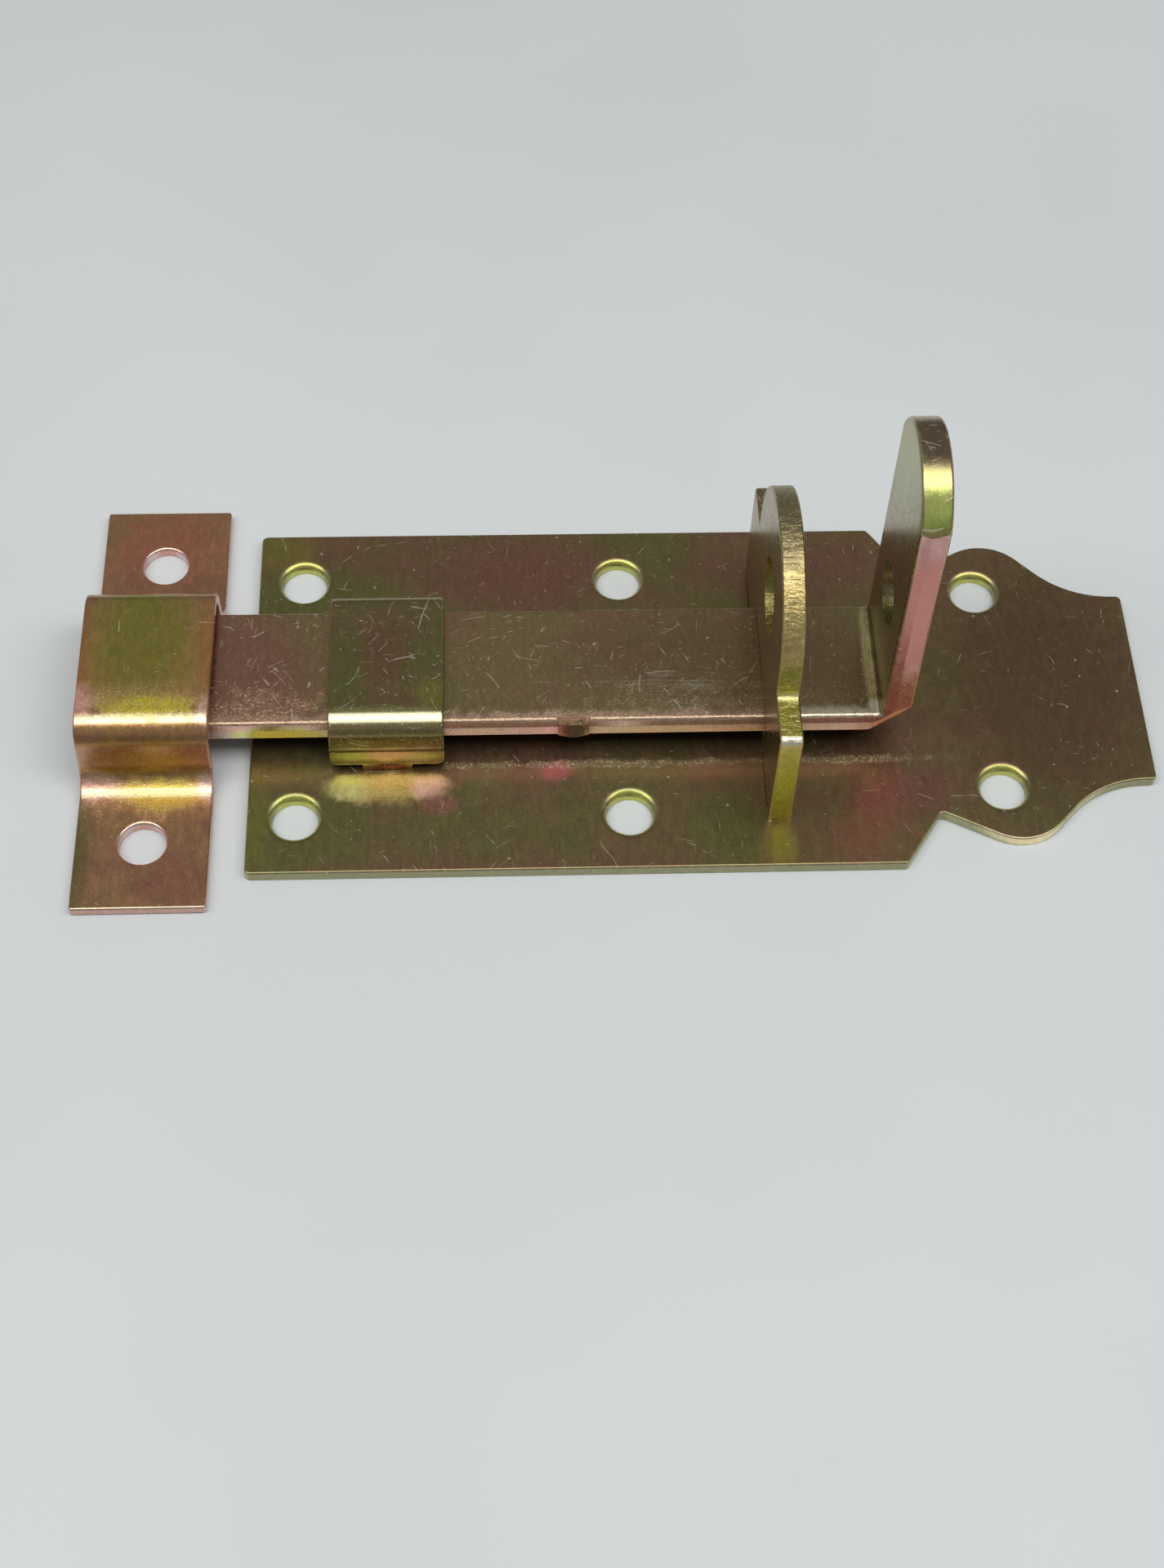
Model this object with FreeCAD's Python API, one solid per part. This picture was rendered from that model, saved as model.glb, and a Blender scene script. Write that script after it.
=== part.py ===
"""Flat slide bolt for a padlock, with its loose keeper strap.

Millimetres. +Z is up, away from the door. X = 0 is the leading edge of the base plate, the edge
that faces the keeper, Y = 0 is the centre line of the bolt, and Z = 0 is the face that lies on
the door. The bolt is drawn as it lies half thrown, with its end inside the keeper.
"""
import FreeCAD
import Part
import math
import os

# Base plate, a pressed flat strip with a shaped tail
PLATE_LENGTH = 120.0
PLATE_WIDTH = 56.0
PLATE_THICK = 1.6
PLATE_CORNER = 0.8
PLATE_EDGE_ROUND = 0.3
TAIL_LENGTH = 34.5
TAIL_NOTCH_BACK = 5.2
TAIL_NOTCH_WIDTH = 40.2
TAIL_NOTCH_ROUND = 0.7
TAIL_SHOULDER_BACK = 17.0
TAIL_SHOULDER_WIDTH = 52.4
TAIL_SHOULDER_ROUND = 7.0
TAIL_WAIST_BACK = 27.1
TAIL_WAIST_ROUND = 14.0
TAIL_TIP_WIDTH = 31.0
TAIL_TIP_CORNER = 0.8

# Screw holes of the base plate, their front rims rolled in by the punch
SCREW_HOLE = 6.0
SCREW_RIM_ROUND = 1.1
FRONT_HOLES_SETBACK = 6.2
MIDDLE_HOLES_SETBACK = 49.8
SIDE_HOLES_SPACING = 39.0
TAIL_HOLES_SETBACK = 20.6
TAIL_HOLES_SPACING = 32.8

# Bolt, a flat bar with one end bent up
BOLT_WIDTH = 18.7
BOLT_THICK = 3.5
BOLT_LIFT = 3.0
BOLT_LEAD = 20.0
BOLT_NOSE_ROUND = 2.0
BOLT_EDGE_ROUND = 0.5
BOLT_EDGE_LEAN = 0.22
BOLT_RIDGE = 0.1
BOLT_RIDGE_RISE = 0.45
BEND_INSIDE = 0.6
BEND_OUTSIDE = 6.0
BEND_PINCH = 3.4
EAR_THICK = 3.9
EAR_HEIGHT = 45.9
EAR_TOP_RISE = 6.5
EAR_GAP = 12.3
EAR_HOLE = 8.6
STOP_SETBACK = 42.7
STOP_LENGTH = 4.0
STOP_PROUD = 0.4
STOP_LIP = 0.3
STOP_DISH_LENGTH = 4.6
STOP_DISH_DEPTH = 1.0
STOP_DISH_REACH = 0.6

# Guide loop, a strap bent over the bolt, with leaning walls that a crease spreads at their feet
GUIDE_SETBACK = 10.7
GUIDE_WIDTH = 15.0
GUIDE_SHEET = 1.5
GUIDE_TOP_ROOM = 0.5
GUIDE_SIDE_ROOM = 0.5
GUIDE_BEND_INSIDE = 1.5
GUIDE_WALL_LEAN = 6.5
GUIDE_SPLAY = 0.45
GUIDE_CREASE_LIFT = 3.7
GUIDE_CREASE_ROUND = 0.6
GUIDE_FOOT_LIFT = 1.0
GUIDE_FOOT_ROUND = 1.0
GUIDE_EDGE_ROUND = 0.25
GUIDE_TAB = 6.5

# Padlock lug, a thick upright plate with a window for the bolt
LUG_SETBACK = 67.8
LUG_THICK = 3.0
LUG_WIDTH = 42.2
LUG_SHOULDER_HEIGHT = 19.3
LUG_SHOULDER_ROUND = 1.0
LUG_NECK_ROUND = 0.6
LUG_EYE = 28.0
LUG_EYE_HEIGHT = 22.0
LUG_EDGE_ROUND = 0.3
LUG_HOLE = 10.0
LUG_TAB = 7.0
WINDOW_TOP_ROOM = 0.4
WINDOW_SIDE_ROOM = 0.25
WINDOW_SILL_ROOM = 0.1
WINDOW_CORNER = 0.2

# Tabs that pass through the plate and are hammered over in its back
TAB_ROOM = 0.05
SWAGE_DEPTH = 0.5
SWAGE_SPREAD = 0.6

# Keeper, a loose strap with a raised middle
KEEPER_WIDTH = 17.3
KEEPER_LENGTH = 65.6
KEEPER_SHEET = 1.4
KEEPER_GAP = 4.6
KEEPER_TOP_ROOM = 1.4
KEEPER_SIDE_ROOM = 1.35
KEEPER_BEND_INSIDE = 2.4
KEEPER_FOOT_BEND = 3.6
KEEPER_WALL_LEAN = 8.0
KEEPER_CORNER = 0.4
KEEPER_EDGE_ROUND = 0.3
KEEPER_HOLE = 6.1
KEEPER_HOLE_SPACING = 46.0
PUNCH_ROUND = 0.4

# How far a cutting shape stands past the metal that it cuts
CUT_SPARE = 1.0

# Lengths and angles smaller than this count as nothing
TINY = 1e-4

# Heights and places that follow from the sizes above
BOLT_UNDER = PLATE_THICK + BOLT_LIFT
BOLT_TOP = BOLT_UNDER + BOLT_THICK
LUG_FAR = LUG_SETBACK + LUG_THICK
EAR_NEAR = LUG_FAR + EAR_GAP
EAR_FAR = EAR_NEAR + EAR_THICK
HALF_BOLT = BOLT_WIDTH / 2


def vec(x, y, z=0.0):
    return FreeCAD.Vector(x, y, z)


def arc_reaches(corners):
    """How far each corner's arc takes up the edges beside it, limited by the length they have."""
    count = len(corners)
    reaches = []
    for i, (here, radius) in enumerate(corners):
        angle = (corners[i - 1][0] - here).getAngle(corners[(i + 1) % count][0] - here)
        straight = abs(math.pi - angle) < TINY
        reaches.append(0 if straight else radius / math.tan(angle / 2))
    shares = [1.0] * count
    for i in range(count):
        following = (i + 1) % count
        length = corners[i][0].distanceToPoint(corners[following][0])
        taken = reaches[i] + reaches[following]
        if taken > length:
            shares[i] = min(shares[i], length / taken)
            shares[following] = min(shares[following], length / taken)
    return [reach * share for reach, share in zip(reaches, shares)]


def rounded_outline(corners):
    """Closed wire through (point, radius) corners: straight edges joined by tangent arcs."""
    starts, arcs, ends = [], [], []
    count = len(corners)
    for i, reach in enumerate(arc_reaches(corners)):
        here = corners[i][0]
        if reach == 0:
            starts.append(here)
            arcs.append(None)
            ends.append(here)
            continue
        to_before = (corners[i - 1][0] - here).normalize()
        to_after = (corners[(i + 1) % count][0] - here).normalize()
        half_angle = to_before.getAngle(to_after) / 2
        radius = reach * math.tan(half_angle)
        bisector = (to_before + to_after).normalize()
        middle = here + bisector * (radius / math.sin(half_angle) - radius)
        start = here + to_before * reach
        end = here + to_after * reach
        starts.append(start)
        arcs.append(Part.Arc(start, middle, end).toShape())
        ends.append(end)
    edges = []
    for i in range(count):
        if arcs[i]:
            edges.append(arcs[i])
        gap_end = starts[(i + 1) % count]
        if ends[i].distanceToPoint(gap_end) > TINY:
            edges.append(Part.LineSegment(ends[i], gap_end).toShape())
    return Part.Wire(edges)


def slab(corners, direction):
    """Solid of a rounded outline pushed along a direction."""
    return Part.Face(rounded_outline(corners)).extrude(direction)


def block(x, y, z):
    """Box between the low and high values of each axis."""
    corner = vec(x[0], y[0], z[0])
    return Part.makeBox(x[1] - x[0], y[1] - y[0], z[1] - z[0], corner)


def soften(solid, radius, chosen):
    """Fillet the edges that the chosen test picks."""
    return solid.makeFillet(radius, [edge for edge in solid.Edges if chosen(edge)])


def lies_at_height(edge, z):
    return abs(edge.BoundBox.ZMin - z) < TINY and abs(edge.BoundBox.ZMax - z) < TINY


def is_hole_rim(edge, across, z):
    """True for the circle of a round hole's end at a height."""
    if not isinstance(edge.Curve, Part.Circle):
        return False
    return abs(edge.Curve.Radius - across / 2) < TINY and lies_at_height(edge, z)


def upper_skin_rim(strap, foot_y):
    """Edges around the side of a bent strap that faces up and away from the bolt."""
    seen = {}
    least_outward = 0.1
    for face in strap.Faces:
        low_u, high_u, low_v, high_v = face.ParameterRange
        normal = face.normalAt((low_u + high_u) / 2, (low_v + high_v) / 2)
        centre = face.CenterOfMass
        outward = normal.z + math.copysign(normal.y, normal.y * centre.y)
        if abs(abs(centre.y) - foot_y) < TINY or outward < least_outward:
            continue
        for edge in face.Edges:
            seen.setdefault(edge.hashCode(), []).append(edge)
    return [edges[0] for edges in seen.values() if len(edges) == 1]


def mirrored_pair(half_corners):
    """Corners of the +Y side, then the same corners on the -Y side in reverse order."""
    low_side = [(vec(p.x, -p.y, p.z), r) for p, r in reversed(half_corners)]
    return half_corners + low_side


def guide_half_inside(z):
    """Inside half width of the loop's leaning walls at a height, above their crease."""
    below_roof = BOLT_TOP + GUIDE_TOP_ROOM - z
    return HALF_BOLT + GUIDE_SIDE_ROOM + below_roof * math.tan(math.radians(GUIDE_WALL_LEAN))


def guide_foot_inside():
    return guide_half_inside(PLATE_THICK + GUIDE_CREASE_LIFT) + GUIDE_SPLAY


def tab_sets():
    """Middle, length along X and length along Y of every tab that goes through the plate."""
    guide_x = GUIDE_SETBACK + GUIDE_WIDTH / 2
    guide_y = guide_foot_inside() + GUIDE_SHEET / 2
    lug_x = LUG_SETBACK + LUG_THICK / 2
    window_half = HALF_BOLT + WINDOW_SIDE_ROOM
    lug_y = (window_half + LUG_WIDTH / 2) / 2
    guide_tabs = [(guide_x, side * guide_y, GUIDE_TAB, GUIDE_SHEET) for side in (1, -1)]
    lug_tabs = [(lug_x, side * lug_y, LUG_THICK, LUG_TAB) for side in (1, -1)]
    return guide_tabs, lug_tabs


def tab_body(x, y, long_x, long_y, room):
    """A tab's straight shank and its hammered foot; room widens it into the plate's slot."""
    half_x = long_x / 2 + room
    half_y = long_y / 2 + room
    shank = block((x - half_x, x + half_x), (y - half_y, y + half_y), (0, PLATE_THICK))
    wide = (half_x + SWAGE_SPREAD, half_y + SWAGE_SPREAD)
    rings = []
    for reach, z in ((wide, 0), ((half_x, half_y), SWAGE_DEPTH)):
        signs = ((-1, -1), (1, -1), (1, 1), (-1, 1), (-1, -1))
        rings.append(Part.makePolygon([vec(x + a * reach[0], y + b * reach[1], z) for a, b in signs]))
    return shank.fuse(Part.makeLoft(rings, True, True)).removeSplitter()


def make_base_plate():
    tail_start = PLATE_LENGTH - TAIL_LENGTH
    half = [
        (vec(0, PLATE_WIDTH / 2), PLATE_CORNER),
        (vec(tail_start, PLATE_WIDTH / 2), PLATE_CORNER),
        (vec(tail_start + TAIL_NOTCH_BACK, TAIL_NOTCH_WIDTH / 2), TAIL_NOTCH_ROUND),
        (vec(tail_start + TAIL_SHOULDER_BACK, TAIL_SHOULDER_WIDTH / 2), TAIL_SHOULDER_ROUND),
        (vec(tail_start + TAIL_WAIST_BACK, TAIL_TIP_WIDTH / 2), TAIL_WAIST_ROUND),
        (vec(PLATE_LENGTH, TAIL_TIP_WIDTH / 2), TAIL_TIP_CORNER),
    ]
    plate = slab(mirrored_pair(half), vec(0, 0, PLATE_THICK))
    plate = soften(plate, PLATE_EDGE_ROUND, lambda edge: lies_at_height(edge, PLATE_THICK))
    places = []
    for side in (1, -1):
        places.append((FRONT_HOLES_SETBACK, side * SIDE_HOLES_SPACING / 2))
        places.append((MIDDLE_HOLES_SETBACK, side * SIDE_HOLES_SPACING / 2))
        places.append((PLATE_LENGTH - TAIL_HOLES_SETBACK, side * TAIL_HOLES_SPACING / 2))
    for x, y in places:
        plate = plate.cut(Part.makeCylinder(SCREW_HOLE / 2, PLATE_THICK, vec(x, y, 0)))
    plate = soften(plate, SCREW_RIM_ROUND, lambda edge: is_hole_rim(edge, SCREW_HOLE, PLATE_THICK))
    guide_tabs, lug_tabs = tab_sets()
    for x, y, long_x, long_y in guide_tabs + lug_tabs:
        plate = plate.cut(tab_body(x, y, long_x, long_y, TAB_ROOM))
    return plate


def make_guide_loop():
    roof = BOLT_TOP + GUIDE_TOP_ROOM
    crown = roof + GUIDE_SHEET
    bend_outside = GUIDE_BEND_INSIDE + GUIDE_SHEET
    crease = PLATE_THICK + GUIDE_CREASE_LIFT
    foot = PLATE_THICK + GUIDE_FOOT_LIFT
    x = GUIDE_SETBACK
    half = [
        (vec(x, guide_half_inside(crown) + GUIDE_SHEET, crown), bend_outside),
        (vec(x, guide_half_inside(crease) + GUIDE_SHEET, crease), GUIDE_CREASE_ROUND),
        (vec(x, guide_foot_inside() + GUIDE_SHEET, foot), 0),
        (vec(x, guide_foot_inside(), foot), 0),
        (vec(x, guide_half_inside(crease), crease), GUIDE_CREASE_ROUND),
        (vec(x, guide_half_inside(roof), roof), GUIDE_BEND_INSIDE),
    ]
    strap = slab(mirrored_pair(half), vec(GUIDE_WIDTH, 0, 0))
    ends = (GUIDE_SETBACK, GUIDE_SETBACK + GUIDE_WIDTH)

    def foot_corner(edge):
        box = edge.BoundBox
        at_end = any(abs(box.XMin - end) < TINY and abs(box.XMax - end) < TINY for end in ends)
        return at_end and lies_at_height(edge, foot)

    strap = soften(strap, GUIDE_FOOT_ROUND, foot_corner)
    strap = strap.makeFillet(GUIDE_EDGE_ROUND, upper_skin_rim(strap, 0))
    for tab_x, tab_y, long_x, long_y in tab_sets()[0]:
        neck = block((tab_x - long_x / 2, tab_x + long_x / 2), (tab_y - long_y / 2, tab_y + long_y / 2),
                     (PLATE_THICK, foot))
        strap = strap.fuse(neck).fuse(tab_body(tab_x, tab_y, long_x, long_y, 0))
    return strap.removeSplitter()


def make_padlock_lug():
    x = LUG_SETBACK
    half_base = LUG_WIDTH / 2
    half_eye = LUG_EYE / 2
    base = slab([
        (vec(x, half_base, PLATE_THICK), 0),
        (vec(x, half_base, LUG_SHOULDER_HEIGHT), LUG_SHOULDER_ROUND),
        (vec(x, half_eye, LUG_SHOULDER_HEIGHT), LUG_NECK_ROUND),
        (vec(x, half_eye, LUG_EYE_HEIGHT), 0),
        (vec(x, -half_eye, LUG_EYE_HEIGHT), 0),
        (vec(x, -half_eye, LUG_SHOULDER_HEIGHT), LUG_NECK_ROUND),
        (vec(x, -half_base, LUG_SHOULDER_HEIGHT), LUG_SHOULDER_ROUND),
        (vec(x, -half_base, PLATE_THICK), 0),
    ], vec(LUG_THICK, 0, 0))
    along_x = vec(1, 0, 0)
    eye = Part.makeCylinder(half_eye, LUG_THICK, vec(x, 0, LUG_EYE_HEIGHT), along_x)
    lug = base.fuse(eye).removeSplitter()

    def face_outline(edge):
        box = edge.BoundBox
        return box.XLength < TINY and box.ZMax > PLATE_THICK + TINY

    lug = soften(lug, LUG_EDGE_ROUND, face_outline)
    hole = Part.makeCylinder(LUG_HOLE / 2, LUG_THICK, vec(x, 0, LUG_EYE_HEIGHT), along_x)
    half_window = HALF_BOLT + WINDOW_SIDE_ROOM
    low = BOLT_UNDER - WINDOW_SILL_ROOM
    high = BOLT_TOP + WINDOW_TOP_ROOM
    window = slab([(vec(x, side_y, side_z), WINDOW_CORNER) for side_y, side_z in (
        (half_window, low), (half_window, high), (-half_window, high), (-half_window, low))],
        vec(LUG_THICK, 0, 0))
    lug = lug.cut(hole).cut(window)
    for tab_x, tab_y, long_x, long_y in tab_sets()[1]:
        lug = lug.fuse(tab_body(tab_x, tab_y, long_x, long_y, 0))
    return lug.removeSplitter()


def side_view(thicknesses, inner_bend, outer_bend, y, rise=0.0):
    """The bent bar from its side: bar and ear as thick as asked about a line above their middle."""
    bar_thick, ear_thick = thicknesses
    beyond_nose = -BOLT_LEAD - CUT_SPARE
    beyond_ear = BOLT_UNDER + EAR_HEIGHT + CUT_SPARE
    low = (BOLT_UNDER + BOLT_TOP - bar_thick) / 2 + rise
    high = low + bar_thick
    near = (EAR_NEAR + EAR_FAR - ear_thick) / 2 - rise
    far = near + ear_thick
    return [
        (vec(beyond_nose, y, high), 0),
        (vec(near, y, high), inner_bend),
        (vec(near, y, beyond_ear), 0),
        (vec(far, y, beyond_ear), 0),
        (vec(far, y, low), outer_bend),
        (vec(beyond_nose, y, low), 0),
    ]


def flat_edge():
    """How far the bar's flat faces reach from its centre line, short of the ridge."""
    return HALF_BOLT - BOLT_EDGE_LEAN


def bent_bar():
    """Bar with an upright end, each long side in two faces that lean back from a low ridge."""
    core = flat_edge()
    ridge_bend = (BEND_INSIDE + BEND_OUTSIDE) / 2
    full = (BOLT_THICK, EAR_THICK)
    thin = (BOLT_RIDGE, BOLT_RIDGE)
    bar = slab(side_view(full, BEND_INSIDE, BEND_OUTSIDE, -core), vec(0, 2 * core, 0))
    for side in (1, -1):
        face = side_view(full, BEND_INSIDE, BEND_OUTSIDE, side * core)
        ridge = side_view(thin, ridge_bend, ridge_bend, side * HALF_BOLT, BOLT_RIDGE_RISE)
        bar = bar.fuse(Part.makeLoft([rounded_outline(face), rounded_outline(ridge)], True, True))
    return bar.removeSplitter()


def make_slide_bolt():
    bolt = bent_bar().common(ear_and_bar_outline())
    ear_shoulder = BOLT_UNDER + EAR_HEIGHT - EAR_TOP_RISE
    across_sheet = max(BOLT_THICK, EAR_THICK)

    def outer_edge(edge):
        box = edge.BoundBox
        on_bar_side = box.YLength < TINY and abs(abs(box.YMin) - flat_edge()) < TINY
        runs_along = box.XLength + box.ZLength > across_sheet + TINY
        on_arch = box.XLength < TINY and box.ZMax > ear_shoulder + TINY
        return on_bar_side and runs_along or on_arch

    bolt = soften(bolt, BOLT_EDGE_ROUND, outer_edge)
    bolt = bolt.cut(bend_pinch(1)).cut(bend_pinch(-1))
    for side in (1, -1):
        bolt = bolt.cut(stop_seat(side)).fuse(edge_stop(side)).cut(stop_dish(side))
    bolt = bolt.removeSplitter()
    hole_start = vec(EAR_NEAR, 0, LUG_EYE_HEIGHT)
    return bolt.cut(Part.makeCylinder(EAR_HOLE / 2, EAR_THICK, hole_start, vec(1, 0, 0)))


def ear_and_bar_outline():
    """What the bar and the ear keep: round nose corners seen from above, and the ear's arched top."""
    nose = -BOLT_LEAD
    tall = BOLT_UNDER + EAR_HEIGHT
    bar = slab([
        (vec(nose, HALF_BOLT, BOLT_UNDER), BOLT_NOSE_ROUND),
        (vec(EAR_FAR, HALF_BOLT, BOLT_UNDER), 0),
        (vec(EAR_FAR, -HALF_BOLT, BOLT_UNDER), 0),
        (vec(nose, -HALF_BOLT, BOLT_UNDER), BOLT_NOSE_ROUND),
    ], vec(0, 0, EAR_HEIGHT))
    shoulder = tall - EAR_TOP_RISE
    arch = Part.Arc(vec(nose, HALF_BOLT, shoulder), vec(nose, 0, tall), vec(nose, -HALF_BOLT, shoulder))
    floor_left = vec(nose, HALF_BOLT, BOLT_UNDER)
    floor_right = vec(nose, -HALF_BOLT, BOLT_UNDER)
    edges = [
        Part.LineSegment(floor_left, vec(nose, HALF_BOLT, shoulder)).toShape(),
        arch.toShape(),
        Part.LineSegment(vec(nose, -HALF_BOLT, shoulder), floor_right).toShape(),
        Part.LineSegment(floor_right, floor_left).toShape(),
    ]
    arched = Part.Face(Part.Wire(edges)).extrude(vec(EAR_FAR - nose, 0, 0))
    return bar.common(arched)


def bend_pinch(side):
    """Metal that a sharp bend draws in from the edge on its outside, rolled off along the bend."""
    reach = BEND_OUTSIDE + BOLT_THICK
    across = (HALF_BOLT - BEND_PINCH, HALF_BOLT + CUT_SPARE)
    waste = block((0, reach), across if side > 0 else (-across[1], -across[0]), (-reach, reach))
    kept = Part.makeCylinder(BEND_PINCH, 2 * reach, vec(0, side * (HALF_BOLT - BEND_PINCH), -reach))
    waste = waste.cut(kept)
    square_to_the_bend = 45
    waste.rotate(vec(0, 0, 0), vec(0, 1, 0), square_to_the_bend)
    waste.translate(vec(EAR_NEAR, 0, BOLT_TOP))
    return waste


def stop_outline(side, proud, z):
    """Flat-backed outline of a stop at a height, its front an arc past the bar's edge."""
    half_length = STOP_LENGTH / 2
    left = STOP_SETBACK - half_length
    right = STOP_SETBACK + half_length
    edge_y = side * flat_edge()
    back_y = side * (flat_edge() - STOP_LIP)
    crown = vec(STOP_SETBACK, side * (HALF_BOLT + proud), z)
    return Part.Wire([
        Part.Arc(vec(left, edge_y, z), crown, vec(right, edge_y, z)).toShape(),
        Part.LineSegment(vec(right, edge_y, z), vec(right, back_y, z)).toShape(),
        Part.LineSegment(vec(right, back_y, z), vec(left, back_y, z)).toShape(),
        Part.LineSegment(vec(left, back_y, z), vec(left, edge_y, z)).toShape(),
    ])


def edge_stop(side):
    """Metal squeezed out of the bar's edge, most at its foot, which cannot pass the lug's window."""
    levels = (
        (STOP_PROUD - STOP_LIP, BOLT_UNDER),
        (STOP_PROUD, BOLT_UNDER + STOP_LIP),
        (0.0, BOLT_TOP - STOP_DISH_DEPTH),
    )
    return Part.makeLoft([stop_outline(side, proud, z) for proud, z in levels], True, True)


def stop_seat(side):
    """What the punch takes off the bar's ridge where a stop stands."""
    across = (flat_edge(), HALF_BOLT + CUT_SPARE)
    along = (STOP_SETBACK - STOP_LENGTH / 2, STOP_SETBACK + STOP_LENGTH / 2)
    return block(along, across if side > 0 else (-across[1], -across[0]), (BOLT_UNDER, BOLT_TOP))


def stop_dish(side):
    """Dent that the punch left in the top edge above the stop."""
    radius = (STOP_DISH_LENGTH ** 2 / 4 + STOP_DISH_DEPTH ** 2) / (2 * STOP_DISH_DEPTH)
    start = vec(STOP_SETBACK, side * (HALF_BOLT - STOP_DISH_REACH), BOLT_TOP - STOP_DISH_DEPTH + radius)
    length = STOP_DISH_REACH + STOP_PROUD + CUT_SPARE
    return Part.makeCylinder(radius, length, start, vec(0, side, 0))


def make_keeper():
    right = -KEEPER_GAP
    left = right - KEEPER_WIDTH
    roof = BOLT_TOP + KEEPER_TOP_ROOM
    crown = roof + KEEPER_SHEET
    lean = math.tan(math.radians(KEEPER_WALL_LEAN))
    turn = math.tan(math.radians((90 - KEEPER_WALL_LEAN) / 2))
    inside_top = HALF_BOLT + KEEPER_SIDE_ROOM
    inside_foot = inside_top + roof * lean
    outside_top = inside_top + KEEPER_SHEET * turn
    outside_foot = inside_foot + KEEPER_SHEET * turn
    half_length = KEEPER_LENGTH / 2
    half = [
        (vec(left, outside_top, crown), KEEPER_BEND_INSIDE + KEEPER_SHEET),
        (vec(left, outside_foot, KEEPER_SHEET), KEEPER_FOOT_BEND),
        (vec(left, half_length, KEEPER_SHEET), 0),
        (vec(left, half_length, 0), 0),
        (vec(left, inside_foot, 0), KEEPER_FOOT_BEND + KEEPER_SHEET),
        (vec(left, inside_top, roof), KEEPER_BEND_INSIDE),
    ]
    strap = slab(mirrored_pair(half), vec(KEEPER_WIDTH, 0, 0))
    outline = slab([(vec(x, y, 0), KEEPER_CORNER) for x, y in (
        (left, half_length), (right, half_length), (right, -half_length), (left, -half_length))],
        vec(0, 0, crown))
    strap = strap.common(outline)
    strap = strap.makeFillet(KEEPER_EDGE_ROUND, upper_skin_rim(strap, half_length))
    for side in (1, -1):
        place = vec((left + right) / 2, side * KEEPER_HOLE_SPACING / 2, 0)
        strap = strap.cut(Part.makeCylinder(KEEPER_HOLE / 2, KEEPER_SHEET, place))
    return soften(strap, PUNCH_ROUND, lambda edge: is_hole_rim(edge, KEEPER_HOLE, KEEPER_SHEET))


NODES = {
    "base_plate": make_base_plate,
    "guide_loop": make_guide_loop,
    "padlock_lug": make_padlock_lug,
    "slide_bolt": make_slide_bolt,
    "keeper": make_keeper,
}

os.makedirs("parts", exist_ok=True)
for name, make in NODES.items():
    shape = make()
    solid = shape.Solids[0] if len(shape.Solids) == 1 else shape
    solid.exportStep(os.path.join("parts", name + ".step"))
    box = solid.BoundBox
    print(name, "solids", len(shape.Solids), "valid", solid.isValid(), "volume", round(solid.Volume, 2),
          "size", round(box.XLength, 2), round(box.YLength, 2), round(box.ZLength, 2))
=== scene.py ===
# %% [markdown]
# # A flat slide bolt in yellow zinc
#
# This lesson dresses a padlock bolt whose five steel pieces are already modelled: a base plate, a
# guide loop, a padlock lug, a flat sliding bar and a loose keeper strap. Their shapes are exact, so
# they are kept, and the whole lesson is about light and finish. Yellow passivated zinc is a hard
# thing to copy: it is metal, so it shows the room more than itself, and its thin coat turns olive,
# gold, rose and plum from place to place.

# %% Load the frame
import math

import bpy
from mathutils import Matrix, Vector

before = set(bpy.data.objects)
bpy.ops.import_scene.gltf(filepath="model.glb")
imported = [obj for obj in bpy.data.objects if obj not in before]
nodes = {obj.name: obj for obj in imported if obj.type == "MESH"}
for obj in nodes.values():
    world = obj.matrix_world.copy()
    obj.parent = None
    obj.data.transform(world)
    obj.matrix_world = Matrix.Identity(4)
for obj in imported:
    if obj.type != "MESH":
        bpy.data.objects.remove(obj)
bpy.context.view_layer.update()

MM = 0.001
print("pieces", sorted(nodes))

# %% [markdown]
# ## The camera
#
# The bolt is looked at from above and in front, with a lens of medium length. A camera can be aimed
# with a constraint, or placed by hand, but here it is worked out from angles, because angles say
# plainly where the eye stands: so far round, so far up, and so far away from a point on the plate.

# %% Where the eye stands
EYE_ROUND = math.radians(-3.54)
EYE_UP = math.radians(55.91)
EYE_ROLL = math.radians(2.06)
EYE_DISTANCE = 310.4 * MM
LOOK_AT = Vector((43.77, -13.85, 0.0)) * MM
LENS = 53.85

back = Vector((math.sin(EYE_ROUND) * math.cos(EYE_UP), -math.cos(EYE_ROUND) * math.cos(EYE_UP),
               math.sin(EYE_UP)))
right = (-back).cross(Vector((0, 0, 1))).normalized()
up = right.cross(-back)
turned_right = right * math.cos(EYE_ROLL) + up * math.sin(EYE_ROLL)
turned_up = up * math.cos(EYE_ROLL) - right * math.sin(EYE_ROLL)
print("the eye looks along", [round(v, 3) for v in -back])

# %% The camera itself
FILM_WIDTH = 36.0
NEAREST, FURTHEST = 0.01, 20.0

camera_data = bpy.data.cameras.new("eye")
camera_data.lens = LENS
camera_data.sensor_width = FILM_WIDTH
camera_data.clip_start = NEAREST
camera_data.clip_end = FURTHEST
camera = bpy.data.objects.new("eye", camera_data)
bpy.context.scene.collection.objects.link(camera)
facing = Matrix((turned_right, turned_up, back)).transposed().to_4x4()
camera.matrix_world = Matrix.Translation(LOOK_AT + back * EYE_DISTANCE) @ facing
bpy.context.scene.camera = camera
print("eye at mm", [round(v / MM, 1) for v in camera.matrix_world.translation])

# %% [markdown]
# ## Small helpers for shader nodes
#
# Nodes can be wired in the shader editor, or in code. In code each node is a few lines of the same
# kind, so helpers take that up: one adds a node and fills its sockets, two do sums with numbers and
# with vectors, one eases a value from one level to another, and one mixes two colours. A socket that
# comes from another node is linked, and a plain value is set. Two more make a named effect, which is
# a node group that many materials share, and place it in a material.

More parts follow.
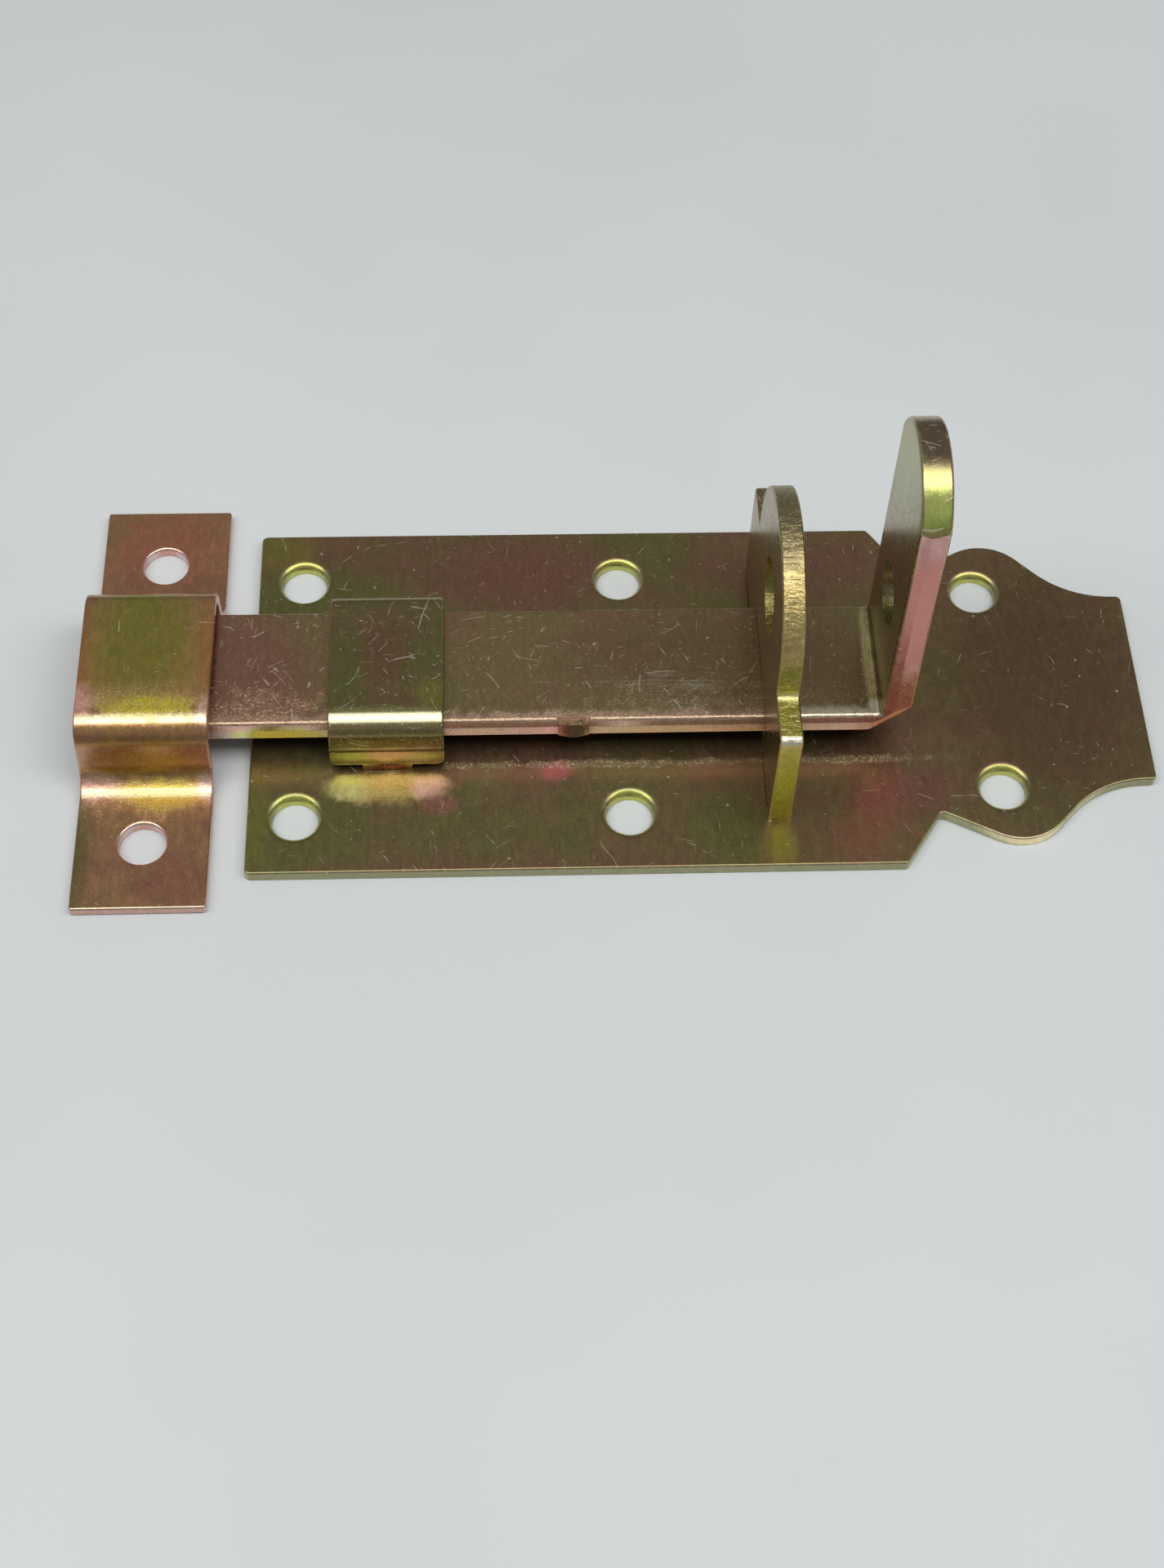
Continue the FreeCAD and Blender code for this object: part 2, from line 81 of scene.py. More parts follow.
# %% Add a node
def put(tree, kind, sockets=None, **settings):
    made = tree.nodes.new("ShaderNode" + kind)
    for name, value in settings.items():
        setattr(made, name, value)
    for name, value in (sockets or {}).items():
        if isinstance(value, bpy.types.NodeSocket):
            tree.links.new(value, made.inputs[name])
        else:
            made.inputs[name].default_value = value
    return made


# %% Sums, ramps and mixes
def sum_of(tree, operation, *values):
    return put(tree, "Math", dict(enumerate(values)), operation=operation).outputs[0]


def vector_sum(tree, operation, *values):
    return put(tree, "VectorMath", dict(enumerate(values)), operation=operation).outputs[0]


def ramp(tree, value, low, high, start=0.0, end=1.0):
    """Eased from start to end while the value goes from low to high."""
    sockets = {"Value": value, "From Min": low, "From Max": high, "To Min": start, "To Max": end}
    return put(tree, "MapRange", sockets, interpolation_type="SMOOTHSTEP").outputs[0]


def blend(tree, factor, first, second, kind="MIX"):
    """Second colour over the first, by the factor."""
    sockets = {0: factor, 6: first, 7: second}
    return put(tree, "Mix", sockets, data_type="RGBA", blend_type=kind).outputs[2]


# %% Colours as a colour chart gives them
def paint(red, green, blue):
    """Linear colour of 0 to 255 chart values."""
    def linear(part):
        share = part / 255
        return share / 12.92 if share <= 0.04045 else ((share + 0.055) / 1.055) ** 2.4
    return (linear(red), linear(green), linear(blue), 1.0)


# %% A named effect that many materials share
def new_effect(name, inputs, outputs):
    """Node group with those sockets, as (group, its inside inputs, its inside outputs)."""
    group = bpy.data.node_groups.new(name, "ShaderNodeTree")
    for label, kind, value in inputs:
        socket = group.interface.new_socket(label, in_out="INPUT", socket_type="NodeSocket" + kind)
        if value is not None:
            socket.default_value = value
    for label, kind in outputs:
        group.interface.new_socket(label, in_out="OUTPUT", socket_type="NodeSocket" + kind)
    given = group.nodes.new("NodeGroupInput").outputs
    wanted = group.nodes.new("NodeGroupOutput").inputs
    print("effect", name, "takes", [label for label, *_ in inputs], "and gives", outputs[0][0])
    return group, given, wanted


def use(tree, group, **sockets):
    """Place an effect in a material and return its outputs."""
    made = tree.nodes.new("ShaderNodeGroup")
    made.node_tree = group
    for name, value in sockets.items():
        socket = made.inputs[name.replace("_", " ")]
        if isinstance(value, bpy.types.NodeSocket):
            tree.links.new(value, socket)
        else:
            socket.default_value = value
    return made.outputs


# %% [markdown]
# ## The floor and the room
#
# The bolt lies on a plain pale table. A plane would do for this one picture, but from a low angle
# its edge would show, and steel mirrors whatever stands round it. So the floor is a wide disc whose
# rim is turned up into a low wall, made by extruding a circle's edge outwards and upwards.

# %% A disc with a turned-up rim
FLOOR_RADIUS = 1.6
WALL_STEPS = ((0.12, 0.02), (0.10, 0.06), (0.06, 0.10), (0.02, 0.12), (0.0, 0.45))
FLOOR_DROP = 0.05 * MM

bpy.ops.object.select_all(action="DESELECT")
bpy.ops.mesh.primitive_circle_add(vertices=96, radius=FLOOR_RADIUS, fill_type="NGON",
                                  location=(0, 0, -FLOOR_DROP))
floor = bpy.context.object
floor.name = "floor"
bpy.ops.object.mode_set(mode="EDIT")
bpy.ops.mesh.select_mode(type="EDGE")
bpy.ops.mesh.select_all(action="DESELECT")
bpy.ops.mesh.select_non_manifold()
reach = FLOOR_RADIUS
for outwards, upwards in WALL_STEPS:
    growth = (reach + outwards) / reach
    bpy.ops.mesh.extrude_edges_move(TRANSFORM_OT_translate={"value": (0, 0, upwards)})
    bpy.ops.transform.resize(value=(growth, growth, 1))
    reach += outwards
bpy.ops.object.mode_set(mode="OBJECT")
bpy.ops.object.transform_apply(location=True, rotation=False, scale=False)
bpy.ops.object.shade_smooth()
print("floor reaches", round(reach, 2), "m, and its wall", round(max(v.co.z for v in floor.data.vertices), 2))

# %% [markdown]
# A table top isn't one flat colour, so two near greys are mixed by soft clouds. The camera sees the
# wall pale, and mirrored rays see it dim, as the dark side of a room. They also see the table dim
# where it lies further off, so that the steel's upright faces stay deep in colour.

# %% The table's finish
TABLE_PALE = paint(224, 228, 228)
TABLE_DEEP = paint(219, 223, 223)
TABLE_DIM = paint(20, 20, 20)
TABLE_CLOUDS = 9.0
TABLE_ROUGHNESS, TABLE_SHINE = 0.55, 0.3
WALL_SEEN, WALL_MIRRORED = 0.55, 0.12
WALL_GLOWS_FROM, WALL_GLOWS_TO = 0.0, 0.12
DIM_IN_FRONT, FRONT_FROM, FRONT_TO = 0.7, 0.03, 0.07
DIM_FAR_OFF, FAR_FROM, FAR_TO = 0.6, 0.15, 0.5

table = bpy.data.materials.new("pale_table")
table.use_nodes = True
tree = table.node_tree
tree.nodes.clear()
place = put(tree, "TexCoord").outputs["Object"]
cloud = put(tree, "TexNoise", {"Vector": place, "Scale": TABLE_CLOUDS, "Detail": 3.0}).outputs["Fac"]
colour = blend(tree, ramp(tree, cloud, 0.35, 0.65), TABLE_PALE, TABLE_DEEP)
rays = put(tree, "LightPath").outputs
front = sum_of(tree, "MULTIPLY", put(tree, "SeparateXYZ", {"Vector": place}).outputs["Y"], -1.0)
away = put(tree, "VectorMath", {0: place}, operation="LENGTH").outputs["Value"]
dim = sum_of(tree, "MAXIMUM", ramp(tree, front, FRONT_FROM, FRONT_TO, 0.0, DIM_IN_FRONT),
             ramp(tree, away, FAR_FROM, FAR_TO, 0.0, DIM_FAR_OFF))
mirrored = blend(tree, sum_of(tree, "MULTIPLY", rays["Is Glossy Ray"], dim), colour, TABLE_DIM)
matt = put(tree, "BsdfPrincipled", {"Base Color": mirrored, "Roughness": TABLE_ROUGHNESS,
                                    "Specular IOR Level": TABLE_SHINE})
seen = sum_of(tree, "MULTIPLY", rays["Is Camera Ray"], WALL_SEEN)
seen_or_mirrored = sum_of(tree, "MULTIPLY_ADD", rays["Is Glossy Ray"], WALL_MIRRORED, seen)
height = put(tree, "SeparateXYZ", {"Vector": place}).outputs["Z"]
on_wall = ramp(tree, height, WALL_GLOWS_FROM, WALL_GLOWS_TO)
tree.links.new(colour, matt.inputs["Emission Color"])
tree.links.new(sum_of(tree, "MULTIPLY", seen_or_mirrored, on_wall), matt.inputs["Emission Strength"])
put(tree, "OutputMaterial", {"Surface": matt.outputs[0]})
floor.data.materials.append(table)
print("table finish has", len(tree.nodes), "nodes")

# %% [markdown]
# ## The light
#
# A glossy flat face mirrors one small part of the room and a bend mirrors a whole arc of it. In the
# picture the flat tops are dark and the bends nearly white, so the light must be one broad panel
# overhead, placed where only the bends can see it, in a room that is otherwise dim. The panel is
# placed by the two angles that it spans: 0 degrees is the horizon behind the bolt, 90 degrees is
# straight overhead, and 180 degrees is the horizon on the camera's side.

# %% The overhead panel
PANEL_FROM = math.radians(86)
PANEL_TO = math.radians(114)
PANEL_DISTANCE = 0.62
PANEL_ACROSS = 1.5
PANEL_LEVEL = 2.9

panel_mid = (PANEL_FROM + PANEL_TO) / 2
panel_way = Vector((0, math.cos(panel_mid), math.sin(panel_mid)))
panel_deep = 2 * PANEL_DISTANCE * math.tan((PANEL_TO - PANEL_FROM) / 2)
panel_data = bpy.data.lights.new("panel", "AREA")
panel_data.shape = "RECTANGLE"
panel_data.size = PANEL_ACROSS
panel_data.size_y = panel_deep
panel_data.energy = PANEL_LEVEL * math.pi * PANEL_ACROSS * panel_deep
panel = bpy.data.objects.new("panel", panel_data)
bpy.context.scene.collection.objects.link(panel)
panel.location = LOOK_AT + panel_way * PANEL_DISTANCE
panel.rotation_euler = panel_way.to_track_quat("Z", "Y").to_euler()
print("panel", round(PANEL_ACROSS, 2), "by", round(panel_deep, 2), "m, watts", round(panel_data.energy, 2))

# %% The room above the wall
ROOM_LEVEL = 0.28
ROOM_SEEN = 0.85
ROOM_COLOUR = (0.97, 0.99, 1.0, 1.0)

world = bpy.data.worlds.new("room")
bpy.context.scene.world = world
world.use_nodes = True
tree = world.node_tree
tree.nodes.clear()
rays = put(tree, "LightPath").outputs
level = ramp(tree, rays["Is Camera Ray"], 0.0, 1.0, ROOM_LEVEL, ROOM_SEEN)
sky = put(tree, "Background", {"Color": ROOM_COLOUR, "Strength": level})
put(tree, "OutputWorld", {"Surface": sky.outputs[0]})
bpy.context.scene.view_settings.view_transform = "Standard"
print("the room lights the bolt at", ROOM_LEVEL, "and is seen at", ROOM_SEEN)

# %% [markdown]
# ## Effects that the finishes share
#
# All five pieces went through one zinc bath, so their materials share their effects. Painted maps
# could show them too, but they would need a layout for every piece. Noise that reads the piece's own
# position needs none, and stays as sharp from near as from afar. Each effect is a node group: the
# mottled tint of the passivated coat, the sheet's fine grain, hairline scratches, specks, the
# crinkled break of a sheared edge, masks of rounded edges and of facing, and a soft patch that marks
# one place. The groups give only colours, masks and heights, and each material mixes them with its
# own values. Sizes in them are in millimetres.

# %% Mottled tint
tint_effect, given, wanted = new_effect("mottled tint", [
    ("Vector", "Vector", None), ("Cloud", "Float", 12.0), ("Seed", "Float", 0.0),
    ("Base", "Color", paint(163, 142, 94)), ("Green", "Color", paint(146, 154, 86)),
    ("Plum", "Color", paint(180, 121, 111)), ("Green share", "Float", 0.5), ("Plum share", "Float", 0.5),
], [("Color", "Color")])
inside = tint_effect
shift = put(inside, "CombineXYZ", {"X": given["Seed"], "Y": given["Seed"], "Z": given["Seed"]})
spot = vector_sum(inside, "ADD", given["Vector"], shift.outputs[0])
cloud_scale = sum_of(inside, "DIVIDE", 1 / MM, given["Cloud"])
wide = put(inside, "TexNoise", {"Vector": spot, "Scale": cloud_scale, "Detail": 2.5, "Roughness": 0.55})
tight = put(inside, "TexNoise", {"Vector": spot, "Scale": sum_of(inside, "MULTIPLY", cloud_scale, 3.3),
                                 "Detail": 3.0, "Roughness": 0.6})
uneven = sum_of(inside, "MULTIPLY_ADD", tight.outputs["Fac"], 0.35, wide.outputs["Fac"])
green_mask = sum_of(inside, "MULTIPLY", ramp(inside, uneven, 0.70, 0.48), given["Green share"])
plum_mask = sum_of(inside, "MULTIPLY", ramp(inside, uneven, 0.64, 0.86), given["Plum share"])
colour = blend(inside, green_mask, given["Base"], given["Green"])
colour = blend(inside, plum_mask, colour, given["Plum"])
inside.links.new(colour, wanted["Color"])

# %% Fine grain, a little drawn out the way the sheet was rolled
grain_effect, given, wanted = new_effect("sheet grain", [
    ("Vector", "Vector", None), ("Size", "Float", 0.2), ("Stretch", "Vector", (1.0, 1.0, 1.0)),
], [("Grain", "Float")])
inside = grain_effect
drawn = vector_sum(inside, "MULTIPLY", given["Vector"], given["Stretch"])
fine = put(inside, "TexNoise", {"Vector": drawn, "Scale": sum_of(inside, "DIVIDE", 1 / MM, given["Size"]),
                                "Detail": 2.0, "Roughness": 0.7})
coarse = put(inside, "TexNoise", {"Vector": drawn, "Detail": 2.0, "Roughness": 0.6,
                                  "Scale": sum_of(inside, "DIVIDE", 0.2 / MM, given["Size"])})
grain = sum_of(inside, "MULTIPLY_ADD", coarse.outputs["Fac"], 0.4,
               sum_of(inside, "MULTIPLY", fine.outputs["Fac"], 0.6))
inside.links.new(grain, wanted["Grain"])

# %% Hairline scratches: short bent streaks that lie four ways
STREAK_WAYS = (15, 62, 108, 155)

scratch_effect, given, wanted = new_effect("hairline scratches", [
    ("Vector", "Vector", None), ("Length", "Float", 15.0), ("Width", "Float", 0.32),
    ("Amount", "Float", 0.5), ("Seed", "Float", 0.0),
], [("Mask", "Float")])
inside = scratch_effect
wander = put(inside, "TexNoise", {"Vector": given["Vector"], "Scale": 0.12 / MM, "Detail": 1.0})
bent = vector_sum(inside, "ADD", given["Vector"], vector_sum(inside, "MULTIPLY", wander.outputs["Color"],
                                                             (5 * MM, 5 * MM, 5 * MM)))
along = sum_of(inside, "DIVIDE", 1 / MM, given["Length"])
across = sum_of(inside, "DIVIDE", 1 / MM, given["Width"])
squeeze = put(inside, "CombineXYZ", {"X": along, "Y": across, "Z": across}).outputs[0]
least = sum_of(inside, "MULTIPLY_ADD", given["Amount"], -0.08, 0.78)
most = sum_of(inside, "ADD", least, 0.06)
streaks = 0.0
for number, way in enumerate(STREAK_WAYS):
    turned = put(inside, "VectorRotate", {"Vector": bent, "Angle": math.radians(way)}, rotation_type="Z_AXIS")
    seed = sum_of(inside, "ADD", given["Seed"], number * 7.3)
    spot = vector_sum(inside, "ADD", vector_sum(inside, "MULTIPLY", turned.outputs[0], squeeze), seed)
    noise = put(inside, "TexNoise", {"Vector": spot, "Scale": 1.0, "Detail": 1.0, "Roughness": 0.4})
    streaks = sum_of(inside, "MAXIMUM", streaks, ramp(inside, noise.outputs["Fac"], least, most))
inside.links.new(streaks, wanted["Mask"])

# %% Specks where dust or knocks marked the coat
speck_effect, given, wanted = new_effect("specks", [
    ("Vector", "Vector", None), ("Spacing", "Float", 2.0), ("Size", "Float", 0.12), ("Share", "Float", 0.3),
], [("Mask", "Float")])
inside = speck_effect
ruffle = put(inside, "TexNoise", {"Vector": given["Vector"], "Scale": 3 / MM, "Detail": 2.0})
spot = vector_sum(inside, "ADD", given["Vector"],
                  vector_sum(inside, "MULTIPLY", ruffle.outputs["Color"], (0.3 * MM, 0.3 * MM, 0.3 * MM)))
often = sum_of(inside, "DIVIDE", 1 / MM, given["Spacing"])
cells = put(inside, "TexVoronoi", {"Vector": spot, "Scale": often}, feature="F1").outputs
reach = sum_of(inside, "DIVIDE", given["Size"], given["Spacing"])
dot = ramp(inside, cells["Distance"], reach, sum_of(inside, "MULTIPLY", reach, 0.5))
chance = put(inside, "SeparateXYZ", {"Vector": cells["Color"]}).outputs["X"]
kept = sum_of(inside, "LESS_THAN", chance, given["Share"])
inside.links.new(sum_of(inside, "MULTIPLY", dot, kept), wanted["Mask"])

# %% The crinkled break of a sheared edge, drawn out along the cut
crinkle_effect, given, wanted = new_effect("sheared crinkle", [
    ("Vector", "Vector", None), ("Stretch", "Vector", (0.35, 1.0, 1.0)), ("Size", "Float", 0.7),
], [("Height", "Float")])
inside = crinkle_effect
drawn = vector_sum(inside, "MULTIPLY", given["Vector"], given["Stretch"])
folds = put(inside, "TexNoise", {"Vector": drawn, "Scale": sum_of(inside, "DIVIDE", 1 / MM, given["Size"]),
                                 "Detail": 3.0, "Roughness": 0.65})
inside.links.new(folds.outputs["Fac"], wanted["Height"])

# %% Rounded edges, told by how far the surface leans away from all three axes
edge_effect, given, wanted = new_effect("rounded edges", [
    ("Normal", "Vector", None), ("From", "Float", 0.03), ("To", "Float", 0.2),
], [("Mask", "Float")])
inside = edge_effect
lean = put(inside, "SeparateXYZ", {"Vector": vector_sum(inside, "ABSOLUTE", given["Normal"])}).outputs
most = sum_of(inside, "MAXIMUM", sum_of(inside, "MAXIMUM", lean["X"], lean["Y"]), lean["Z"])
inside.links.new(ramp(inside, sum_of(inside, "SUBTRACT", 1.0, most), given["From"], given["To"]),
                 wanted["Mask"])

# %% How squarely a face looks one way
facing_effect, given, wanted = new_effect("facing", [
    ("Normal", "Vector", None), ("Way", "Vector", (0.0, 0.0, 1.0)),
    ("From", "Float", 0.8), ("To", "Float", 0.95),
], [("Mask", "Float")])
inside = facing_effect
squareness = put(inside, "VectorMath", {0: given["Normal"], 1: given["Way"]}, operation="DOT_PRODUCT")
inside.links.new(ramp(inside, squareness.outputs["Value"], given["From"], given["To"]), wanted["Mask"])

# %% A soft patch
patch_effect, given, wanted = new_effect("soft patch", [
    ("Vector", "Vector", None), ("Centre", "Vector", None), ("Reach", "Vector", (5.0, 5.0, 50.0)),
    ("Ragged", "Float", 0.3), ("Strength", "Float", 1.0),
], [("Mask", "Float")])
inside = patch_effect
offset = vector_sum(inside, "SUBTRACT", vector_sum(inside, "DIVIDE", given["Vector"], (MM, MM, MM)),
                    given["Centre"])
offset = vector_sum(inside, "DIVIDE", offset, given["Reach"])
share = put(inside, "VectorMath", {0: offset}, operation="LENGTH")
rough = put(inside, "TexNoise", {"Vector": given["Vector"], "Scale": 0.45 / MM, "Detail": 4.0,
                                 "Roughness": 0.65})
wavering = sum_of(inside, "MULTIPLY", sum_of(inside, "SUBTRACT", rough.outputs["Fac"], 0.5), 3.0)
edge = sum_of(inside, "MULTIPLY_ADD", wavering, given["Ragged"], share.outputs["Value"])
soft = sum_of(inside, "MULTIPLY", ramp(inside, edge, 1.15, 0.35), given["Strength"])
inside.links.new(soft, wanted["Mask"])

# %% [markdown]
# ## The finishes
#
# Every finish is built the same way: a mottled coat, then soft patches where the coat turned
# another colour, then the paler cut sides and rounded edges, then the scuffs and scratches that bare
# the zinc. What all five share is written once: one function starts an empty material, two lay
# patches by their place, and one ends it with grain, scuffs, scratches and the metal itself.

# %% Colours of the coat
OLIVE = paint(140, 143, 84)
UMBER = paint(158, 136, 96)
PLUM = paint(168, 120, 102)
STRAW = paint(225, 218, 150)
LIME = paint(190, 190, 70)
PALE_ZINC = paint(205, 200, 182)
DARK_BROWN = paint(137, 110, 82)
print("olive is", [round(part, 3) for part in OLIVE[:3]], "as the shader counts it")


# %% Start a finish, and lay patches on it
def start_finish(name):
    """Empty material with its place and normal, ready for layers."""
    material = bpy.data.materials.new(name)
    material.use_nodes = True
    tree = material.node_tree
    tree.nodes.clear()
    surface = put(tree, "TexCoord").outputs
    return material, tree, surface["Object"], surface["Normal"]


def lay(tree, place, colour, patches):
    """Soft patches over a colour: each is centre, reach, colour, strength."""
    for centre, reach, tone, strength in patches:
        mask = use(tree, patch_effect, Vector=place, Centre=centre, Reach=reach, Strength=strength)["Mask"]
        colour = blend(tree, mask, colour, tone)
    return colour


def zone(tree, place, spots, ragged=0.6):
    """One mask of several soft patches: each is centre, reach, strength."""
    total = 0.0
    for centre, reach, strength in spots:
        mask = use(tree, patch_effect, Vector=place, Centre=centre, Reach=reach, Ragged=ragged,
                   Strength=strength)["Mask"]
        total = sum_of(tree, "MAXIMUM", total, mask)
    return total


# %% End a finish
GRAIN_WAY = (1.5, 0.5, 1.0)
GRAIN_SHADES = (0.86, 1.12)
SCUFF_SIZE = 0.34
SCUFF_PALE = paint(242, 222, 178)
SCUFF_SHARE, SCUFF_DULLNESS = 0.55, 0.16
SCRATCH_SHARE, SCRATCH_DEPTH = 0.6, 0.006
METAL_SHARE, LESS_WHERE_SCRATCHED, LESS_WHERE_MATT = 0.9, 0.35, 0.4


def end_finish(tree, place, colour, roughness, grain_size, grain_depth, scratches, scuffs, scuff_depth,
               matt=0.0):
    """Grain, scuffs and scratches over the colour, and the metal itself. Depths are millimetres."""
    grain = use(tree, grain_effect, Vector=place, Size=grain_size, Stretch=GRAIN_WAY)["Grain"]
    speckled = ramp(tree, grain, 0.3, 0.7, *GRAIN_SHADES)
    speckle = put(tree, "CombineXYZ", {"X": speckled, "Y": speckled, "Z": speckled}).outputs[0]
    colour = blend(tree, 1.0, colour, speckle, "MULTIPLY")
    colour = blend(tree, sum_of(tree, "MULTIPLY", scratches, SCRATCH_SHARE), colour, PALE_ZINC)
    knocks = put(tree, "TexNoise", {"Vector": place, "Scale": 1 / (SCUFF_SIZE * MM), "Detail": 3.0,
                                    "Roughness": 0.6}).outputs["Fac"]
    specks = sum_of(tree, "MULTIPLY", scuffs, ramp(tree, knocks, 0.5, 0.66, 0.0, SCUFF_SHARE))
    colour = blend(tree, specks, colour, SCUFF_PALE)
    dull = ramp(tree, grain, 0.35, 0.7, *roughness)
    dull = sum_of(tree, "MULTIPLY_ADD", scuffs, SCUFF_DULLNESS, dull)
    metal_share = sum_of(tree, "MULTIPLY_ADD", scratches, -LESS_WHERE_SCRATCHED, METAL_SHARE)
    metal_share = sum_of(tree, "MULTIPLY_ADD", matt, -LESS_WHERE_MATT, metal_share)
    height = sum_of(tree, "MULTIPLY", grain, grain_depth)
    height = sum_of(tree, "MULTIPLY_ADD", sum_of(tree, "MULTIPLY", scuffs, scuff_depth), knocks, height)
    height = sum_of(tree, "MULTIPLY_ADD", scratches, -SCRATCH_DEPTH, height)
    bumped = put(tree, "Bump", {"Height": height, "Strength": 1.0, "Distance": MM})
    metal = put(tree, "BsdfPrincipled", {"Base Color": colour, "Metallic": metal_share, "Roughness": dull,
                                         "Normal": bumped.outputs[0]})
    put(tree, "OutputMaterial", {"Surface": metal.outputs[0]})


# %% Dress a piece
def dress(name, material):
    for slot in nodes[name].material_slots:
        slot.material = material
    print(name, "wears", material.name, "with", len(material.node_tree.nodes), "nodes")


# %% [markdown]
# ## The base plate
#
# The plate is pressed from sheet, so its flat top has a rolled grain, and its coat is olive at the
# front, plum behind the bar and brown on the tail. Its cut sides are paler and greyer, and the rims
# of its screw holes are rolled in, with a painted lime highlight on the far side of each. The tail's
# front edge carries painted highlights too. Ahead of the loop and the lug the plate mirrors their
# walls. The reflection alone comes out too faint, so pale patches stand there to help it, and pale
# specks are painted along the line where the plate mirrors the bar's side.

# %% Where the plate's coat changes, and where light is painted on it
DEEPER = paint(228, 226, 226)
PLATE_SIDE = paint(164, 160, 126)
PLATE_RIM = paint(205, 208, 160)
# Painted highlight: lime on the far side of each screw hole's rim.
HOLE_RIM_HIGHLIGHT = paint(215, 215, 110)
PLATE_PATCHES = (
    ((4.0, -22.0, 1.6), (14.0, 9.0, 9.0), OLIVE, 0.8),
    ((8.0, 16.0, 1.6), (14.0, 9.0, 9.0), OLIVE, 0.8),
    ((3.0, 25.0, 1.6), (6.0, 4.0, 9.0), paint(175, 165, 80), 0.6),
    ((1.0, -20.0, 1.6), (2.6, 10.0, 9.0), paint(170, 165, 80), 0.5),
    ((56.0, 22.0, 1.6), (4.0, 6.0, 9.0), OLIVE, 0.7),
    ((36.0, 21.0, 1.6), (18.0, 8.0, 9.0), PLUM, 0.9),
    ((72.0, 21.0, 1.6), (16.0, 7.0, 9.0), PLUM, 0.6),
    ((86.0, -17.0, 1.6), (9.0, 6.0, 9.0), PLUM, 0.9),
    ((62.0, -22.0, 1.6), (7.0, 6.0, 9.0), OLIVE, 0.8),
    ((108.0, 0.0, 1.6), (18.0, 26.0, 9.0), DARK_BROWN, 0.9),
)
PLATE_GLINTS = (
    ((18.2, -15.0, 1.6), (8.6, 2.8, 2.0), paint(220, 192, 104), 0.9),
    ((13.0, -15.0, 1.6), (3.4, 2.4, 2.0), paint(232, 230, 150), 0.85),
    ((23.6, -15.0, 1.6), (3.0, 2.3, 2.0), paint(252, 200, 185), 0.9),
    ((25.0, -17.8, 1.6), (3.6, 1.9, 2.0), paint(185, 118, 112), 0.6),
    ((40.3, -12.9, 1.6), (2.4, 2.0, 2.0), paint(205, 122, 120), 0.8),
    ((69.6, -25.0, 1.6), (2.2, 3.6, 2.0), paint(180, 175, 78), 0.5),
)
# Painted highlights along the tail's rolled front edge.
PLATE_EDGE_HIGHLIGHTS = (
    ((103.0, -25.0, 1.0), (9.0, 4.5, 1.6), paint(255, 240, 195), 1.0),
    ((114.0, -20.0, 1.0), (9.0, 3.5, 1.6), paint(230, 222, 180), 0.8),
)
PLATE_HOLES = ((6.2, 19.5), (6.2, -19.5), (49.8, 19.5), (49.8, -19.5), (99.4, 16.4), (99.4, -16.4))
# Painted reflection: pale specks and scratches along the line where the plate mirrors the bar's side, and
# ahead of the loop where it mirrors the loop's wall.
PLATE_REFLECTED_SPECKS = (
    ((46.0, -11.7, 1.6), (22.0, 0.8, 2.0), 1.0),
    ((78.0, -11.5, 1.6), (14.0, 0.7, 2.0), 0.9),
    ((18.0, -15.2, 1.6), (9.0, 3.0, 2.0), 0.8),
)
print("the plate has", len(PLATE_PATCHES) + len(PLATE_GLINTS), "patches and", len(PLATE_HOLES), "rims")


# %% The plate's finish
def plate_finish():
    material, tree, place, normal = start_finish("plate_zinc")
    colour = use(tree, tint_effect, Vector=place, Cloud=14.0, Seed=1.3, Base=UMBER, Green=OLIVE, Plum=PLUM,
                 Green_share=0.6, Plum_share=0.6)["Color"]
    colour = lay(tree, place, colour, PLATE_PATCHES)
    colour = blend(tree, 1.0, colour, DEEPER, "MULTIPLY")
    colour = lay(tree, place, colour, PLATE_GLINTS)
    sides = use(tree, facing_effect, Normal=vector_sum(tree, "ABSOLUTE", normal), From=0.35, To=0.15)["Mask"]
    colour = blend(tree, sides, colour, PLATE_SIDE)
    rims = use(tree, edge_effect, Normal=normal)["Mask"]
    colour = blend(tree, sum_of(tree, "MULTIPLY", rims, 0.5), colour, PLATE_RIM)
    outer = sum_of(tree, "MAXIMUM", rims, sides)
    # Painted highlights on the far side of each hole's rim and along the tail's front edge.
    rim_highlights = [((x, y + 3.4, 1.0), (4.6, 2.6, 4.0), HOLE_RIM_HIGHLIGHT, 0.8) for x, y in PLATE_HOLES]
    colour = blend(tree, outer, colour, lay(tree, place, colour, rim_highlights + list(PLATE_EDGE_HIGHLIGHTS)))
    hairs = use(tree, scratch_effect, Vector=place, Amount=0.45, Seed=2.1)["Mask"]
    dots = use(tree, speck_effect, Vector=place, Spacing=2.6, Size=0.24, Share=0.3)["Mask"]
    # Pale specks painted as reflection, where the plate mirrors the bar's side and the loop.
    marked_zone = zone(tree, place, PLATE_REFLECTED_SPECKS, 0.9)
    marks = sum_of(tree, "MAXIMUM", sum_of(tree, "MULTIPLY", hairs, 0.8), dots)
    marks = sum_of(tree, "MAXIMUM", marks, sum_of(tree, "MULTIPLY", marked_zone, 0.12))
    end_finish(tree, place, colour, roughness=(0.28, 0.38), grain_size=0.22, grain_depth=0.01,
               scratches=marks, scuffs=marked_zone, scuff_depth=0.04)
    return material


dress("base_plate", plate_finish())
